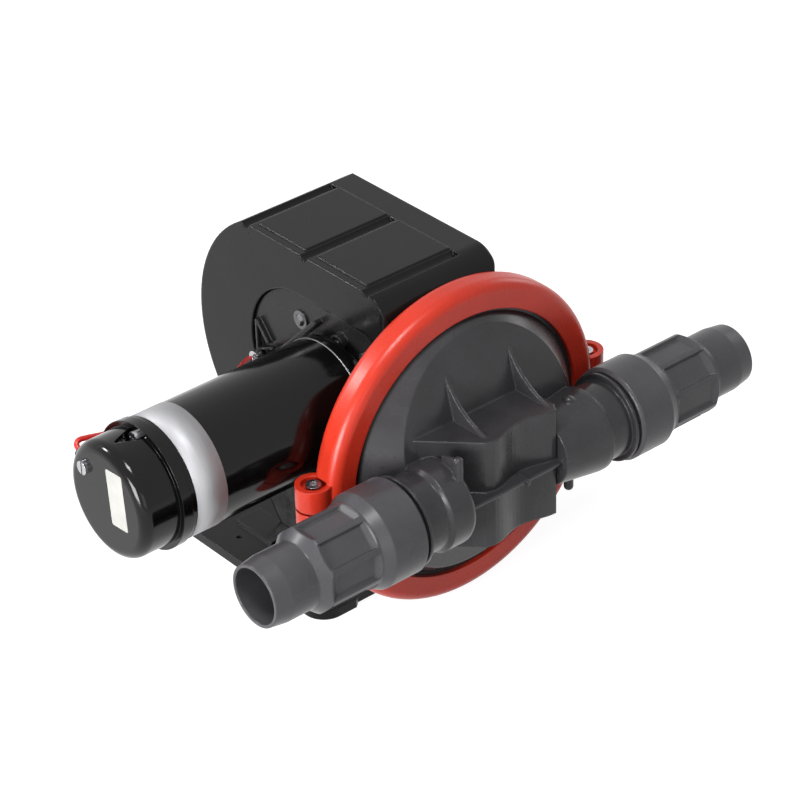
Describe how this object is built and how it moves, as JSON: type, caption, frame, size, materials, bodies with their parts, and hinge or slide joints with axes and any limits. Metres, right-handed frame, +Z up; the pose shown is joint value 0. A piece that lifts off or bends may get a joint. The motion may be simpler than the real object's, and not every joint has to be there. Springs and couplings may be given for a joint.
{
  "type": "diaphragm pump",
  "caption": "Electric diaphragm pump with a round clamped pumping head, hose tails on both sides, a geared side motor and a foot plate.",
  "frame": {"origin": "centre of the base plate's bolt pattern on the underside, the mounting face", "axes": "+Z up from the mounting face; X along the two hose tails, with the motor on the -X side; -Y towards the pumping head, so +Y to the round back of the gear housing"},
  "size_m": [0.3687, 0.2375, 0.1965],
  "materials": {
    "ring_red": "glossy moulded",
    "housing_black": "satin moulded",
    "flange_black": "satin moulded",
    "cover_grey": "matt moulded",
    "union_grey": "matt moulded",
    "base_black": "satin paint",
    "motor_black": "gloss paint",
    "screw_steel": "bright plated",
    "dark_steel": "machined",
    "bronze": "sintered",
    "gear_nylon": "natural nylon",
    "gear_steel": "machined",
    "cast_alloy": "as cast",
    "rubber_black": "moulded",
    "ferrite": "ground",
    "laminations": "varnished",
    "copper": "turned",
    "carbon": "pressed",
    "phenolic": "moulded",
    "lead_red": "smooth insulation"
  },
  "bodies": {
    "pump": {"base_plate": "base_black", "gear_housing": "housing_black", "housing_screws": "screw_steel", "gear_flange": "flange_black", "flange_screws": "screw_steel", "motor_can": "motor_black", "motor_magnets": "ferrite", "brush_ring": "phenolic", "brushes": "carbon", "end_cap": "motor_black", "cap_screws": "screw_steel", "motor_bolts": "screw_steel", "front_bearing": "bronze", "rear_bearing": "bronze", "idler_pin": "screw_steel", "crank_bearing_left": "bronze", "crank_bearing_right": "bronze", "diaphragm": "rubber_black", "chamber_cover": "cover_grey", "clamp_half_top": "ring_red", "clamp_half_bottom": "ring_red", "clamp_screws": "screw_steel", "clamp_nuts": "screw_steel", "inlet_valve_seat": "union_grey", "outlet_valve_seat": "union_grey", "inlet_union": "union_grey", "outlet_union": "union_grey", "red_lead": "lead_red", "lead_grommet": "rubber_black"},
    "rotor": {"motor_shaft": "dark_steel", "motor_pinion": "gear_steel", "armature": "laminations", "commutator": "copper"},
    "idler": {"idler_gear": "gear_nylon"},
    "crank": {"crank_gear": "gear_nylon", "crankshaft": "dark_steel"},
    "rod": {"con_rod": "cast_alloy", "big_end_bearing": "bronze", "inner_plate": "cast_alloy", "outer_plate": "cast_alloy", "centre_screw": "screw_steel"},
    "inlet_flap": {"inlet_flap": "rubber_black"},
    "outlet_flap": {"outlet_flap": "rubber_black"}
  },
  "joints": [
    {"name": "crank_spin", "type": "hinge", "parent": "pump", "child": "crank", "pos_m": [0, -0.005, 0.1], "axis": [1, 0, 0], "continuous": true},
    {"name": "idler_spin", "type": "hinge", "parent": "pump", "child": "idler", "pos_m": [-0.02, -0.01259, 0.15372], "axis": [1, 0, 0], "continuous": true},
    {"name": "rotor_spin", "type": "hinge", "parent": "pump", "child": "rotor", "pos_m": [-0.06, -0.0474, 0.1252], "axis": [1, 0, 0], "continuous": true},
    {"name": "rod_pivot", "type": "hinge", "parent": "crank", "child": "rod", "pos_m": [0, 0, 0.1], "axis": [1, 0, 0], "continuous": true, "deforming": ["diaphragm"]},
    {"name": "inlet_flap_hinge", "type": "hinge", "parent": "pump", "child": "inlet_flap", "pos_m": [-0.0833, -0.1336, 0.1145], "axis": [0, -1, 0], "range_deg": [0, 60]},
    {"name": "outlet_flap_hinge", "type": "hinge", "parent": "pump", "child": "outlet_flap", "pos_m": [0.0912, -0.1336, 0.1145], "axis": [0, -1, 0], "range_deg": [0, 60]}
  ],
  "couplings": [
    {"joint": "idler_spin", "follows": "crank_spin", "ratio": -4},
    {"joint": "rotor_spin", "follows": "crank_spin", "ratio": 16},
    {"joint": "rod_pivot", "follows": "crank_spin", "ratio": -1}
  ]
}
